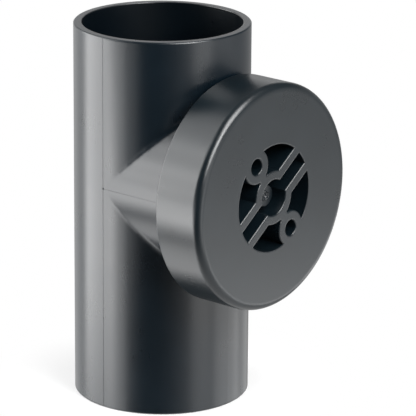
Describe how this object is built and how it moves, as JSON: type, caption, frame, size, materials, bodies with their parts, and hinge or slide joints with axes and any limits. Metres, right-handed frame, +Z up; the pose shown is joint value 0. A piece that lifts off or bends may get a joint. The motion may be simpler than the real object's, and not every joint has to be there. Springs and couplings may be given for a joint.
{
  "type": "cleanout access pipe",
  "caption": "Straight drain pipe with an equal right-angle branch closed by a screwed service cap with a ribbed grip recess.",
  "frame": {"origin": "centre of the pipe's lower end, on the surface the part stands on", "axes": "+Z up along the pipe's axis, +X along the branch towards the cap, +Y to the right as seen facing the cap"},
  "size_m": [0.1453, 0.1416, 0.238],
  "materials": {
    "pipe_plastic": "satin black polyethylene",
    "cap_plastic": "satin black polyethylene",
    "seal_rubber": "matt black rubber"
  },
  "bodies": {
    "pipe": {"access_pipe": "pipe_plastic"},
    "seal": {"seal_ring": "seal_rubber"},
    "cap": {"screw_cap": "cap_plastic"}
  },
  "joints": [
    {"name": "cap_travel", "type": "slide", "parent": "pipe", "child": "seal", "axis": [1, 0, 0], "range_m": [0, 0.03]},
    {"name": "cap_turn", "type": "hinge", "parent": "seal", "child": "cap", "pos_m": [0.0903, 0, 0.1425], "axis": [1, 0, 0], "range_deg": [0, 1800]}
  ],
  "couplings": [
    {"joint": "cap_travel", "follows": "cap_turn", "m_per_rad": 0.00095493}
  ]
}
